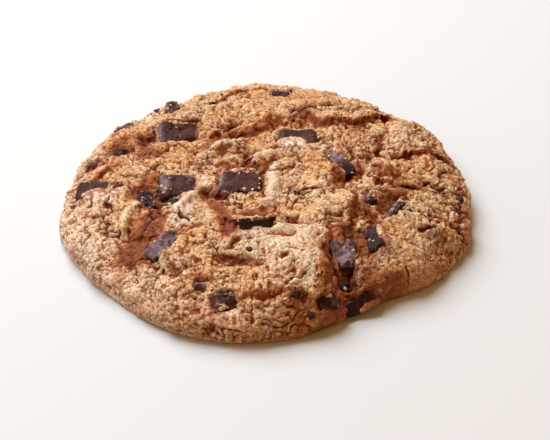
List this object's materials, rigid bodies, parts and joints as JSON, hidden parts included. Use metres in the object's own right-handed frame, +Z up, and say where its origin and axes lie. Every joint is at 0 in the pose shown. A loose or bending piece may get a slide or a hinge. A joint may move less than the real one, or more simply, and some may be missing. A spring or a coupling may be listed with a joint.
{
  "type": "chocolate chunk cookie",
  "caption": "Round baked cookie with a cracked, craggy golden-brown top and pieces of dark chocolate sunk in it.",
  "frame": {"origin": "middle of the flat base, where the cookie rests", "axes": "+Z up out of the domed top, -Y towards the notch side of the rim nearest the viewer, +X to the right as seen from there"},
  "size_m": [0.092, 0.0956, 0.0144],
  "materials": {
    "baked_dough": "dry, rough and granular baked crust",
    "dark_chocolate": "dark chocolate with a soft sheen, dusty in places"
  },
  "bodies": {
    "root": {"dough": "baked_dough", "chunk_01": "dark_chocolate", "chunk_02": "dark_chocolate", "chunk_03": "dark_chocolate", "chunk_04": "dark_chocolate", "chunk_05": "dark_chocolate", "chunk_06": "dark_chocolate", "chunk_07": "dark_chocolate", "chunk_08": "dark_chocolate", "chunk_09": "dark_chocolate", "chunk_10": "dark_chocolate", "chunk_11": "dark_chocolate", "chunk_12": "dark_chocolate", "chunk_13": "dark_chocolate", "chunk_14": "dark_chocolate", "chunk_15": "dark_chocolate", "chunk_16": "dark_chocolate", "chunk_17": "dark_chocolate", "chunk_18": "dark_chocolate", "chunk_19": "dark_chocolate", "chunk_20": "dark_chocolate", "chunk_21": "dark_chocolate", "chunk_22": "dark_chocolate", "chunk_23": "dark_chocolate"}
  },
  "joints": []
}
